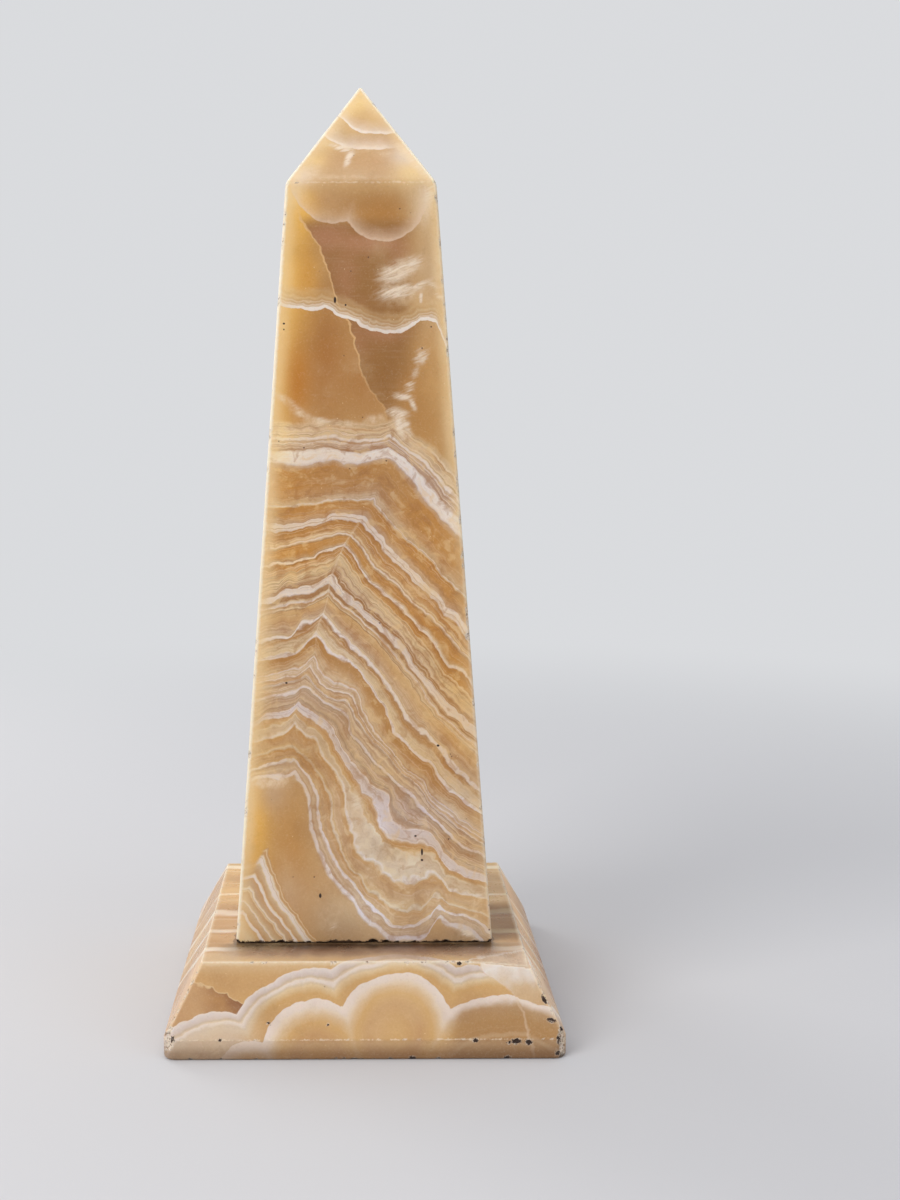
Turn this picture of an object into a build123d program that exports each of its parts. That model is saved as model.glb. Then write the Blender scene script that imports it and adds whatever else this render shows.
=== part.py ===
"""Banded onyx table obelisk: a tapering square shaft with a pointed head, standing on a splayed base.

Two stones. The base is one block with an upright lip round its foot and four sloping sides. The shaft
and its four-sided head are one block, because the bands run on through the shoulder. The shaft stands
on the base, flat face on flat face, a little behind the middle.

Frame, in millimetres: the origin is at the middle of the base's underside, +Z up, the front faces -Y.
"""
import os
from math import atan2, degrees

from build123d import *

# ---- Base block, square in plan ----
BASE_FOOT_SIDE = 239.0
BASE_TOP_SIDE = 196.0
BASE_HEIGHT = 52.5
LIP_HEIGHT = 12.5  # the upright lip below the slopes
BASE_CORNER_RADIUS = 7.0  # the upright corners of the lip are knocked round

# The flake lost from the front right corner of the top: where its edge starts on the front arris,
# how far it runs back along the right arris, and how far down the corner it reaches.
SPALL_START_X = 60.0
SPALL_RUN_BACK = 18.0
SPALL_DROP = 3.5

# ---- Shaft, square in plan ----
SHAFT_FOOT_SIDE = 159.0
SHOULDER_SIDE = 91.0
SHAFT_HEIGHT = 464.0  # from the foot to the shoulder
HEAD_HEIGHT = 63.5  # from the shoulder to the tip
TIP_SIDE = 1.6  # the tip is rubbed to a small flat
SHAFT_SETBACK = 12.0  # the shaft's axis is this far behind the middle of the base
FOOT_CHAMFER = 1.2  # the worn lower arris, which leaves a dark line at the joint


def draw_in(wide_side, narrow_side, height):
    """The angle, in degrees from upright, of sides that draw in from one square to the next."""
    return degrees(atan2((wide_side - narrow_side) / 2, height))


def spall_plane():
    """The facet left by the flake, facing up and out over the front right corner of the top."""
    half = BASE_TOP_SIDE / 2
    start = Vector(SPALL_START_X, -half, BASE_HEIGHT)
    back_end = Vector(half, -half + SPALL_RUN_BACK, BASE_HEIGHT)
    low_end = Vector(half, -half, BASE_HEIGHT - SPALL_DROP)
    return Plane(origin=start, x_dir=back_end - start, z_dir=(low_end - start).cross(back_end - start))


def make_base():
    """The base block: lip, slopes and flat top, less its rounded corners and the front right flake."""
    with BuildPart() as block:
        with BuildSketch(Plane.XY):
            Rectangle(BASE_FOOT_SIDE, BASE_FOOT_SIDE)
        extrude(amount=LIP_HEIGHT)

        slope_height = BASE_HEIGHT - LIP_HEIGHT
        with BuildSketch(Plane.XY.offset(LIP_HEIGHT)):
            Rectangle(BASE_FOOT_SIDE, BASE_FOOT_SIDE)
        extrude(amount=slope_height, taper=draw_in(BASE_FOOT_SIDE, BASE_TOP_SIDE, slope_height))

        with BuildSketch(Plane.XY):
            RectangleRounded(BASE_FOOT_SIDE, BASE_FOOT_SIDE, BASE_CORNER_RADIUS)
        extrude(amount=BASE_HEIGHT, mode=Mode.INTERSECT)

        split(bisect_by=spall_plane(), keep=Keep.BOTTOM)
    return block.part


def make_shaft():
    """The shaft and its head, one block, standing on the base's top."""
    with BuildPart() as block:
        with BuildSketch(Plane.XY.offset(BASE_HEIGHT)):
            with Locations((0, SHAFT_SETBACK)):
                Rectangle(SHAFT_FOOT_SIDE, SHAFT_FOOT_SIDE)
        extrude(amount=SHAFT_HEIGHT, taper=draw_in(SHAFT_FOOT_SIDE, SHOULDER_SIDE, SHAFT_HEIGHT))

        with BuildSketch(Plane.XY.offset(BASE_HEIGHT + SHAFT_HEIGHT)):
            with Locations((0, SHAFT_SETBACK)):
                Rectangle(SHOULDER_SIDE, SHOULDER_SIDE)
        extrude(amount=HEAD_HEIGHT, taper=draw_in(SHOULDER_SIDE, TIP_SIDE, HEAD_HEIGHT))

        chamfer(block.faces().sort_by(Axis.Z)[0].edges(), length=FOOT_CHAMFER)
    return block.part


base = make_base()
base.label = "base"
shaft = make_shaft()
shaft.label = "shaft"

os.makedirs("parts", exist_ok=True)
export_step(base, "parts/base.step")
export_step(shaft, "parts/shaft.step")
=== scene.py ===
import itertools
import math

import bpy
import numpy as np
from mathutils import Matrix, Vector


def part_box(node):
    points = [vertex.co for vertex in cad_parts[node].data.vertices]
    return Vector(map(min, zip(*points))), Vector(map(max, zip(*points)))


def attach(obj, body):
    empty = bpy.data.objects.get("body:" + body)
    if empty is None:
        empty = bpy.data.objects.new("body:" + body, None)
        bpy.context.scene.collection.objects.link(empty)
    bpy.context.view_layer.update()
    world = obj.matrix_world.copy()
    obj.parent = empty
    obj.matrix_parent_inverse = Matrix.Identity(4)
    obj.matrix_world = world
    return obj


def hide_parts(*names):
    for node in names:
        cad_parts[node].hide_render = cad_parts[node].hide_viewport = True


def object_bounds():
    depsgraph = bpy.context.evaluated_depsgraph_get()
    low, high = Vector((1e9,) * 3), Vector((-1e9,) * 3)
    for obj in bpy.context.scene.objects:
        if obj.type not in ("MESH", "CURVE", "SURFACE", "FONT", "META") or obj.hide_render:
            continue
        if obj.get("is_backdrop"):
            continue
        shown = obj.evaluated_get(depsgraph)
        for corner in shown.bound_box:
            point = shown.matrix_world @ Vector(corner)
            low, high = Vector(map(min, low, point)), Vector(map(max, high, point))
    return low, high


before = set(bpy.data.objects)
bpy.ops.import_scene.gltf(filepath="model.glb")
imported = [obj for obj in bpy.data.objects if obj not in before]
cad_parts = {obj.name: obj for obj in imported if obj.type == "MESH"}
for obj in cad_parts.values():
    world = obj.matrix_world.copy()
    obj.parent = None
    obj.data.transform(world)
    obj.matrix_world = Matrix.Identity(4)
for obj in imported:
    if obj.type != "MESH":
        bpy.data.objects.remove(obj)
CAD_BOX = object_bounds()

MM = 0.001
rng = np.random.default_rng(46)

# The stone's colours, sRGB 0 to 255.
WHITE = (232, 216, 202)
LILAC = (221, 204, 192)
CREAM = (224, 198, 160)
BEIGE = (208, 178, 142)
PINK = (198, 165, 134)
TAUPE = (176, 148, 120)
BUFF = (210, 170, 119)
TAN = (199, 157, 113)
STRAW = (242, 208, 146)
GOLD = (240, 186, 98)
HONEY = (212, 156, 84)
ORANGE = (190, 122, 56)
AMBER = (196, 146, 90)
UMBER = (181, 131, 78)
RUSSET = (172, 118, 68)
BROWN = (168, 126, 88)
DRAB = (152, 108, 64)


# The frame's own sizes

def box_mm(node):
    """The low and high corners of a node's box."""
    return np.array(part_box(node)) / MM


BASE_HALF, _, BASE_TOP_Z = box_mm("base")[1]
SHAFT_LOW, SHAFT_HIGH = box_mm("shaft")
TIP_Z = SHAFT_HIGH[2]
SETBACK = (SHAFT_LOW[1] + SHAFT_HIGH[1]) / 2

# Sizes inside those boxes, as the construction has them.
BASE_TOP_HALF = 98
LIP_Z = 12.5
BASE_CORNER = 7
SHAFT_FOOT_HALF = 79.5
SHOULDER_HALF = 45.5
SHOULDER_V = 464
SHOULDER_Z = BASE_TOP_Z + SHOULDER_V
TIP_HALF = 0.8
FOOT_CHAMFER = 1.2


def shaft_half(z):
    """Half the shaft's side at height z, shaft and head alike."""
    return np.interp(z, [BASE_TOP_Z, SHOULDER_Z, TIP_Z], [SHAFT_FOOT_HALF, SHOULDER_HALF, TIP_HALF])


def base_half(z):
    """Half the base's side at height z."""
    return np.interp(z, [LIP_Z, BASE_TOP_Z], [BASE_HALF, BASE_TOP_HALF])


# Camera

LENS = 45.75  # mm, on a sensor measured along the picture's longer side
SENSOR = 36
SHIFT_X = 0.0789
CAMERA_AT = (-0.0045, -0.9768, 0.3875)
PITCH_DOWN = 0.1315
ROLL = -0.00435


def placed(name, data):
    """A new object in the scene."""
    item = bpy.data.objects.new(name, data)
    bpy.context.scene.collection.objects.link(item)
    return item


def make_camera():
    data = bpy.data.cameras.new("camera")
    data.lens = LENS
    data.sensor_width = SENSOR
    data.shift_x = SHIFT_X
    data.clip_start = 0.02
    data.clip_end = 50
    camera = placed("camera", data)
    tilt = Matrix.Rotation(math.pi / 2 - PITCH_DOWN, 4, "X") @ Matrix.Rotation(ROLL, 4, "Z")
    camera.matrix_world = Matrix.Translation(CAMERA_AT) @ tilt
    bpy.context.scene.camera = camera


make_camera()


# Smooth seeded noise, and lines, for meshes and fields

WAVES = 9  # sine waves in one noise value
WAVES_REACH = 3.6  # their sum mostly stays within this


def noise(points, scale, seed):
    """A smooth value, about -1 to 1, at each point, with bumps about `scale` apart."""
    waves = np.random.default_rng(seed)
    total = np.zeros(len(points))
    for _ in range(WAVES):
        direction = waves.normal(size=points.shape[1])
        direction *= waves.uniform(0.7, 1.5) / np.linalg.norm(direction)
        total += np.sin(points @ direction * (2 * np.pi / scale) + waves.uniform(0, 2 * np.pi))
    return total / WAVES_REACH


def smoothstep(value, low, high):
    """0 at low and 1 at high, smoothly between; low may be the greater."""
    x = np.clip((value - low) / (high - low), 0, 1)
    return x * x * (3 - 2 * x)


def smooth_line(points, steps=6):
    """A Catmull-Rom curve through the points, as a finer row of points."""
    p = np.array(points, float)
    p = np.vstack([2 * p[0] - p[1], p, 2 * p[-1] - p[-2]])
    t = np.linspace(0, 1, steps, endpoint=False)[:, None]
    rows = []
    for a, b, c, d in zip(p[:-3], p[1:-2], p[2:-1], p[3:]):
        rows.append(0.5 * (2 * b + (c - a) * t + (2 * a - 5 * b + 4 * c - d) * t**2
                           + (3 * b - a - 3 * c + d) * t**3))
    return np.vstack(rows + [p[-2:-1]])


def straight_runs(points, at):
    """The second value of a line of points at a place along the first, in straight runs."""
    return np.interp(at, *np.array(points, float).T)


def line_height(points, at):
    """The same along a smooth curve through the points, carried on level past its ends."""
    line = smooth_line(points)
    order = np.argsort(line[:, 0], kind="stable")
    return np.interp(at, line[order, 0], line[order, 1])


def turned(u, v, degrees):
    """Points turned anticlockwise about the origin."""
    a = math.radians(degrees)
    return u * math.cos(a) - v * math.sin(a), u * math.sin(a) + v * math.cos(a)


def reach(u, v, cu, cv, half_wide, half_high, turn=0):
    """How far out in a turned ellipse points are, squared: 0 at its middle and 1 on its outline."""
    along, across = turned(u - cu, v - cv, -turn)
    return (along / half_wide) ** 2 + (across / half_high) ** 2


# The shaft's growth layers

# Each layer line: its place in the growth sequence (mm of stone, downwards), its left limb from the
# left arris up to the crease, and its right limb on from there down to the right arris, as (U, V).
LAYER_LINES = [
    (0, [(-60, 312), (-45, 310.5), (-30, 311), (-20, 312.5), (-8, 310), (8, 310), (17, 313)],
     [(28, 303), (39, 295.5), (50, 283), (60, 272)]),
    (9, [(-60, 303.5), (-40, 303), (-20, 304.5), (-8, 302.5), (2, 302), (16, 305)],
     [(24, 300), (32, 292), (43, 280), (50, 270), (61, 260)]),
    (17, [(-60, 296), (-48, 296), (-40, 294), (-20, 297.5), (-8, 295.5), (5, 297), (15, 299.5)],
     [(20, 296), (27, 289), (38, 275), (48, 262), (62, 248)]),
    (40, [(-60, 270), (-35, 270.5), (-25, 272.5), (-12, 274), (7, 274)],
     [(17, 260), (27, 250), (40, 239), (49, 228), (58, 219), (65, 212)]),
    (53, [(-61, 257.5), (-42, 257), (-33, 259.5), (-25, 261), (-17, 264), (0, 262)],
     [(6, 255), (12, 249), (15, 243), (25, 234), (35, 223), (44, 215.5), (51, 205.5), (57, 202),
      (64, 190)]),
    (65, [(-61, 243), (-40, 247), (-24, 250.5), (-14, 253), (-7, 252)],
     [(2, 241), (9, 231), (20, 222), (30, 212), (42, 202), (55, 187), (66, 175)]),
    (76, [(-61, 233), (-54, 235.5), (-34, 238), (-26, 241.7), (-19, 244.4), (-11, 246.7)],
     [(-4, 238), (0, 230), (6, 223), (18, 213), (25, 208), (30, 201), (39, 193), (46, 182), (52, 173),
      (62, 168), (68, 159)]),
    (85, [(-61, 219.5), (-51, 223), (-45, 226.7), (-38, 226.7), (-22, 231), (-15, 238)],
     [(-8, 230), (0, 219), (10, 209), (19, 200), (25, 195), (31, 186), (40, 177), (48, 165), (58, 154),
      (70, 143)]),
    (94, [(-63, 211.7), (-55, 213), (-49, 216.7), (-36, 219), (-29, 221), (-19.8, 226)],
     [(-11, 214.4), (-4, 209), (2.4, 202), (11, 195.6), (19, 186.7), (25, 182), (30, 172), (38, 162),
      (44, 155.6), (49, 148), (57, 142), (66, 134), (71, 129)]),
    (101, [(-60, 207), (-46, 211), (-32, 212), (-26, 215), (-21, 218)],
     [(-15, 212), (-4, 203), (7, 193), (15, 184), (25, 172), (34, 162), (40, 151), (49, 141), (58, 133),
      (70, 122)]),
    (121, [(-61, 188), (-53, 190), (-45, 190), (-41, 194.4), (-37.6, 200), (-30, 200), (-24, 205)],
     [(-15, 193), (-11, 190), (-2, 181), (6, 173), (14, 163), (20, 154), (28, 140), (38, 133), (41, 128),
      (51, 120), (53, 115), (62, 105.5), (69, 98), (74, 94)]),
    (125, [(-66, 182), (-58, 184), (-50, 187), (-38, 191), (-27, 199)],
     [(-18, 189), (-8, 180), (0, 172), (9, 163), (17, 150), (24, 138), (32, 127), (44, 119), (54, 107),
      (60, 101), (74, 88)]),
    (134, [(-64, 175.6), (-54, 178), (-44, 179), (-39, 182), (-34, 187), (-28.7, 193)],
     [(-20, 181), (-11, 177), (-4, 171), (2, 164), (9, 152), (14, 146), (19, 131), (28, 123), (32, 118),
      (37, 113.5), (42, 111.5), (48, 101), (59, 91.5), (63, 86.5), (74, 80)]),
    (147, [(-60, 165.6), (-51, 168), (-44, 170), (-38, 171), (-30, 178)],
     [(-26, 168), (-20, 162), (-5, 157), (0, 143), (7, 130), (15, 122), (21, 114), (26, 108), (36, 101),
      (41, 92), (47, 87), (56, 81), (60, 76), (74, 67)]),
    (155, [(-66, 159), (-56, 161), (-40, 164), (-35, 167)],
     [(-28, 158), (-20, 152), (-10, 150), (-4, 140), (0, 134), (5, 127), (12, 121), (21, 110),
      (25, 105.5), (33, 100), (39, 91), (42, 86), (51, 78.5), (60, 71), (75, 61)]),
    (164, [(-68, 151), (-60, 153), (-43, 157), (-37, 160)],
     [(-32, 159), (-24, 151), (-10, 143), (-8, 134), (-3, 127), (2, 121), (10, 111), (17, 105),
      (20, 101), (30, 94), (33, 89), (41, 80), (46, 76), (53, 68), (61, 61), (73, 56)]),
    (178, [(-69, 135.6), (-64, 139), (-59, 143), (-46, 144.4), (-40, 150)],
     [(-35, 145.6), (-22, 137), (-16, 127), (-12, 120), (-6, 111), (0, 104), (5, 98), (10, 94.5),
      (15, 92), (15.5, 84), (17, 77), (20, 72), (28, 70), (36, 71), (43, 66), (51, 54), (61, 47),
      (76, 41)]),
    (182, [(-69, 133), (-59, 140), (-46, 141.5), (-41, 146)],
     [(-36, 142), (-24, 134), (-18, 124), (-14, 117), (-9, 108), (-3, 100), (2, 93), (7, 89), (9, 83),
      (10, 76), (13, 69), (20, 64.5), (28, 63), (37, 63), (43, 60), (50, 50), (60, 43.5), (76, 38)]),
    (186, [(-70, 130), (-60, 135), (-48, 138), (-42, 143)],
     [(-37, 138), (-26, 130), (-21, 121), (-17, 113), (-12, 104), (-6, 95), (0, 88), (3, 80), (6, 73),
      (12, 65), (20, 59), (30, 56), (40, 56), (45, 55), (50, 46), (59, 40), (76, 35)]),
    (190, [(-70, 125), (-60, 128), (-50, 130), (-46, 132.5), (-42, 137)],
     [(-36, 131), (-29, 127), (-26, 118), (-18, 108), (-12, 99), (-11, 92), (-11, 83), (-9.5, 74),
      (-6, 67), (-5, 60), (2, 53), (8, 52), (13, 45), (19, 40), (31, 39), (38, 42), (44, 44), (51, 35.6),
      (57, 32), (76, 28)]),
    (200, [(-70, 116), (-60, 120), (-45, 122.5), (-43, 123)],
     [(-36, 117), (-29, 109), (-23, 98), (-20, 88), (-20, 75), (-15, 62), (-9, 47), (-2, 42), (2, 34),
      (10, 29), (15, 24), (25, 20.6), (31, 22), (38, 24), (45, 32), (52, 25), (60, 22), (78, 17)]),
    (208, [(-72, 108), (-60, 110.5), (-50, 114), (-43, 114.5)],
     [(-39, 110.6), (-34, 104), (-30, 97), (-28, 91), (-28, 81), (-26, 72), (-18, 52), (-13, 44),
      (-6, 38), (-2, 31), (6, 22), (12, 17), (18, 11), (31, 11), (41, 17), (46, 24), (49, 20.6),
      (56, 18), (65, 17), (80, 6)]),
    (216, [(-74, 97), (-70, 102), (-60, 104.5), (-50, 104), (-42, 107)],
     [(-38, 101), (-34, 93), (-33, 82), (-32, 72), (-25, 52), (-20, 43), (-13, 34), (-6, 27), (-2, 19),
      (4, 14), (10, 9), (15, 4), (21, 3), (37, 4), (42, 10), (47, 17), (51, 13), (65, 8), (74, 0.6)]),
]
# How the lines run on past a limb's two ends.
LIMB_SLOPES = {"left": (0.12, 0.35), "right": (-1.2, -0.85)}
RUN_ON = 120
DRAWING_TURN = 25  # degrees: seen from this far round, the lines don't double back
LEAST_LAYER = 0.6  # mm between one line and the next


def growth(u, v, limb):
    """The growth place of points on one limb: 0 at the first line, and more below it."""
    before_slope, after_slope = LIMB_SLOPES[limb]
    p, q = turned(u, v, DRAWING_TURN)
    heights = []
    for _, left, right in LAYER_LINES:
        line = smooth_line(left if limb == "left" else left[-1:] + right)
        before = line[0] - [RUN_ON, RUN_ON * before_slope]
        after = line[-1] + [RUN_ON, RUN_ON * after_slope]
        line_p, line_q = turned(*np.vstack([before, line, after]).T, DRAWING_TURN)
        line_p = np.maximum.accumulate(line_p + np.arange(len(line_p)) * 1e-6)
        height = np.interp(p, line_p, line_q)
        heights.append(np.minimum(height, heights[-1] - LEAST_LAYER) if heights else height)
    place = np.minimum(heights[0] - q, 0)
    steps = np.diff([entry[0] for entry in LAYER_LINES])
    for upper, lower, step in zip(heights, heights[1:], steps):
        place += np.clip((upper - q) / (upper - lower), 0, 1) * step
    return place + np.maximum(heights[-1] - q, 0)


# The shaft's other lines, as (U, V)

WHITE_BAND = [
    (-51, 391.7), (-42, 389), (-31, 388), (-20, 388), (-15, 385), (-6, 382), (-1, 379), (5, 376),
    (10, 375), (21, 374), (27, 375.6), (34, 379), (39, 381), (45, 380.6), (47, 375.6), (52, 365),
]
HEAD_LINE = [
    (-20, 517), (-15, 510), (-10, 505), (-5, 499.6), (0, 497), (8, 496), (16, 496), (24, 497.5),
]
HEAD_LINE_LOW = [
    (-27, 500), (-23, 495.5), (-19, 492), (-14, 489), (-9, 487), (-2, 486.5), (15, 486), (30, 489),
]
LOBES = [(-17, 465, 25), (14, 455, 26)]  # U, V, radius: they hang down from the head
# The edge between the golden and the grey-brown stone, and where the grey-brown ends, as (V, U).
GRAIN_EDGE = [
    (317, 17), (328, 14), (342, 4), (351, 0), (370, -5), (383, -9), (392, -14), (407, -19), (417, -22),
    (426, -25), (433, -31), (441, -36), (452, -41),
]
BROWN_END = [(317, 20), (330, 25), (383, 40), (392, 34), (441, 34)]
# The first line of the chevron bundle in the lower left corner, as (V, U).
BUNDLE_LINE = [
    (-12, -24), (3, -31), (10, -36), (19, -43), (28, -49), (39, -54), (50, -58), (62, -60.5), (80, -62),
]
BUNDLE_TOP = (-60, 58)  # (U, V) where its chevrons start
BUNDLE_CREST_SLOPE = 2.6
BUNDLE_LEFT_SLOPE = 0.3
# How lit the stone beside the left and the right arris is, as (V, amount).
LIT_LEFT = [(0, 0.2), (60, 0.1), (100, 0.3), (125, 0.52), (240, 0.5), (300, 0.3), (460, 0.25), (464, 0)]
LIT_RIGHT = [(200, 0), (250, 0.3), (300, 0.42), (460, 0.5), (464, 0)]

# Soft clouds in the shaft's ground colour: U, V, half width, half height, colour, strength.
GROUND = (198, 157, 108)
CLOUDS = [
    (-50, 362, 10, 58, GOLD, 0.95), (-22, 360, 16, 44, RUSSET, 0.95), (-40, 346, 8, 26, ORANGE, 0.8),
    (-44, 418, 12, 36, GOLD, 0.9), (-33, 408, 7, 22, HONEY, 0.7), (4, 348, 15, 26, RUSSET, 0.8),
    (28, 342, 12, 20, UMBER, 0.6), (45, 348, 13, 42, AMBER, 0.9), (44, 408, 11, 34, BEIGE, 0.7),
    (24, 392, 20, 8, BUFF, 0.6), (12, 446, 26, 13, UMBER, 0.95), (-20, 455, 14, 12, TAN, 0.8),
    (-38, 448, 9, 16, GOLD, 0.9), (0, 462, 46, 4, BUFF, 0.6), (38, 452, 9, 16, CREAM, 0.8),
    (0, 470, 34, 7, BEIGE, 0.6), (34, 476, 13, 14, CREAM, 0.9), (30, 473, 9, 8, STRAW, 0.7),
    (-32, 476, 9, 10, CREAM, 0.7), (-20, 479, 10, 9, TAN, 0.9), (8, 477, 14, 8, TAN, 0.7),
    (0, 516, 16, 17, STRAW, 0.95), (0, 491, 24, 5, BEIGE, 0.7), (-50, 280, 20, 12, HONEY, 0.8),
    (-12, 285, 30, 11, BROWN, 0.75), (-26, 265, 26, 10, AMBER, 0.6), (8, 262, 16, 22, BROWN, 0.55),
    (24, 281, 22, 12, TAUPE, 0.5), (38, 262, 20, 22, AMBER, 0.5), (36, 236, 24, 14, AMBER, 0.6),
    (42, 324, 14, 16, UMBER, 0.8), (54, 330, 4, 60, CREAM, 0.4), (-50, 240, 26, 14, HONEY, 0.8),
    (34, 205, 26, 26, AMBER, 0.8), (58, 150, 18, 40, HONEY, 0.6), (-10, 170, 18, 22, BEIGE, 0.4),
    (20, 160, 14, 20, BUFF, 0.5), (-62, 150, 13, 18, HONEY, 0.7), (40, 106, 26, 16, AMBER, 0.5),
    (-68, 78, 10, 40, GOLD, 0.95), (-46, 56, 12, 34, AMBER, 0.85), (-34, 30, 20, 18, TAN, 0.7),
    (-14, 12, 18, 14, TAUPE, 0.8), (-16, 74, 12, 26, BEIGE, 0.8), (4, 62, 9, 22, BEIGE, 0.9),
    (26, 47, 22, 8, CREAM, 0.9), (28, 82, 16, 12, PINK, 0.8), (16, 24, 36, 14, CREAM, 0.8),
    (56, 84, 18, 16, BEIGE, 0.7), (62, 26, 20, 12, CREAM, 0.4), (24, -1, 30, 8, PINK, 0.9),
    (-46, 148, 20, 18, BEIGE, 0.5), (-58, 120, 14, 14, BUFF, 0.7), (-49, 430, 6, 40, STRAW, 0.6),
    (-41, 458, 8, 9, STRAW, 0.75), (-39, 468, 8, 6, WHITE, 0.7), (0, 504, 8, 5, TAN, 0.7),
    (6, 510, 9, 5, BUFF, 0.6), (-17, 498, 6, 6, CREAM, 0.6), (10, 491, 12, 3, TAN, 0.8),
    (48, 344, 9, 30, BUFF, 0.6), (53, 372, 5, 14, CREAM, 0.6), (-73, 84, 5, 30, CREAM, 0.6),
    (-56, 93, 9, 10, PINK, 0.7), (-48, 30, 9, 16, PINK, 0.5), (64, 6, 14, 6, TAUPE, 0.8),
    (40, 36, 12, 8, BEIGE, 0.6), (60, 60, 14, 10, AMBER, 0.6), (5, 66, 8, 14, CREAM, 0.5),
    (27, 481, 9, 6, WHITE, 0.6), (-28, 479, 7, 6, STRAW, 0.8), (-21, 489, 7, 5, STRAW, 0.5),
]
# Feathery white growths: U, V, half width, half height, turn in degrees, density.
VEILS = [
    (22, 411, 13, 6, 22, 1), (31, 416, 8, 4, 32, 0.9), (22, 399, 14, 5, 12, 1),
    (34, 402, 10, 3, 26, 0.8), (43, 403, 7, 1.6, -22, 0.8), (47, 396, 5, 1.4, -25, 0.8),
    (36, 395, 1.2, 4, 0, 1), (36, 360, 4.5, 6, -35, 0.95), (32, 350, 3, 5, -25, 0.75),
    (29, 342, 3.4, 5, -25, 0.85), (25, 336, 7, 2.4, -8, 1), (31, 331, 1.8, 5, 28, 0.9),
    (22, 326, 8, 3.6, -15, 1), (23, 318, 3.4, 9, 14, 1), (27, 318, 3, 7, 22, 0.9),
    (-40, 330, 8, 1.6, -32, 0.5), (-24, 322, 7, 2, -10, 0.6), (-7, 480, 2.6, 7, -24, 1),
    (-11, 486, 9, 2.4, -20, 0.9), (32, 482, 10, 6, -40, 0.9), (38, 472, 8, 4, -30, 0.8),
    (42, 457, 4, 9, -12, 0.9), (-19, 10, 5, 2, 40, 0.6), (26, 0, 12, 2, 0, 0.7), (64, 6, 9, 3, -28, 0.8),
    (-4, 88, 5, 10, 10, 0.6), (18, 50, 10, 3, 0, 0.6),
]
# Soft pale hazes, in the same way.
HAZES = [
    (-48, 335, 11, 2.6, -30, 0.7), (-37, 326, 10, 2.6, -30, 0.75), (-26, 321, 9, 3, -12, 0.75),
    (-10, 319, 12, 3, 0, 0.6), (8, 322, 8, 3.4, 8, 0.75), (-40, 316, 16, 4, 0, 0.5),
    (22, 321, 6, 7, 0, 0.7), (34, 303, 12, 3, -42, 0.5), (52, 286, 10, 3, -42, 0.5),
    (34, 478, 14, 5, -48, 0.9), (42, 467, 6, 4, 0, 0.8), (-37, 468, 7, 5, 30, 0.7),
    (-12, 487, 12, 2, -14, 0.7), (40, 452, 5, 14, -8, 0.8), (46, 418, 4, 30, 3, 0.5),
    (-58, 101, 18, 5, 4, 0.8), (66, 9, 16, 4, -16, 0.5), (28, 1, 12, 2, 0, 0.6),
    (-3, 82, 6, 16, 12, 0.5), (-20, 12, 6, 3, 40, 0.4), (24, 411, 14, 8, 18, 0.8),
    (20, 400, 10, 4, 8, 0.7), (22, 50, 12, 3, 0, 0.5), (27, 396, 17, 6, 14, 0.5),
    (-10, 467, 34, 2.5, 0, 0.5), (26, 485, 9, 4, -40, 0.9), (-26, 494, 5, 3, 45, 0.6),
    (-32, 470, 9, 6, 30, 0.7), (2, 487, 16, 3, 0, 0.5), (14, 482, 10, 3, 10, 0.4),
    (-20, 20, 12, 14, -50, 0.35),
]
# Rosy patches in the grey-brown stone, in the same way.
ROSY = [
    (-22, 431, 14, 9, 0, 1), (2, 428, 28, 6, 0, 0.7), (12, 375, 15, 6, 0, 0.8),
    (-12, 412, 9, 14, 0, 0.5), (30, 424, 14, 10, 0, 0.6), (-2, 372, 8, 12, 0, 0.5),
]
# Dark open pits on the front: U, V, half width, half height.
PITS = [
    (-27, 30, 0.8, 1.5), (-16, 394, 0.8, 1.9), (-9.6, 391, 0.6, 0.6), (36, 57, 0.7, 2.2),
    (36, 52, 0.8, 0.7), (46, 123, 0.9, 0.7), (-47, 380, 0.7, 0.6), (-47, 162, 0.8, 0.6),
    (32, 67, 0.8, 0.6),
]


def warped(points):
    """Points in the stone as (U, V) on its front face, with the depth: the layers slant and wander."""
    x, y, z = points.T
    depth = np.maximum(y - SETBACK + shaft_half(z), 0)
    wander = smoothstep(depth, 2, 60)
    u = x - 11 * (1 - np.cos(np.pi * depth / 95)) + 9 * wander * noise(points, 120, 3)
    v = z - BASE_TOP_Z + 0.3 * depth + 10 * wander * noise(points, 90, 4)
    return u, v, depth


def linear(rgb):
    """An sRGB colour, 0 to 255, as linear light."""
    c = np.array(rgb, float) / 255
    return np.where(c <= 0.04045, c / 12.92, ((c + 0.055) / 1.055) ** 2.4)


def ground_colours(u, v):
    """The shaft's soft ground colour at each point."""
    colour = np.tile(linear(GROUND), (len(u), 1))
    for *place, rgb, strength in CLOUDS:
        weight = strength * np.exp(-0.9 * reach(u, v, *place))
        colour += (linear(rgb) - colour) * weight[:, None]
    return colour


def spots(u, v, patches):
    """How dense the soft-edged patches are at each point."""
    return np.max([strength * np.exp(-reach(u, v, *place)) for *place, strength in patches], axis=0)


# Meshes

EDGE_STEPS = (0.5, 0.6, 0.8, 1, 1.2)  # mm between the columns beside an arris
# The baking map: how much of its height the sides take up, the margin round each of them, and the
# middles and half width of the low and the high cap above them.
SIDES_HIGH = 0.93
MAP_MARGIN = 0.004
CAP_MIDDLES = ((0.03, 0.965), (0.10, 0.965))
CAP_HALF = 0.028
# Chips: how far round one, in radii, points are looked at, and how quickly its depth counts as raw.
CHIP_REACH = 1.35
CHIP_RAWNESS = 2.5


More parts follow.
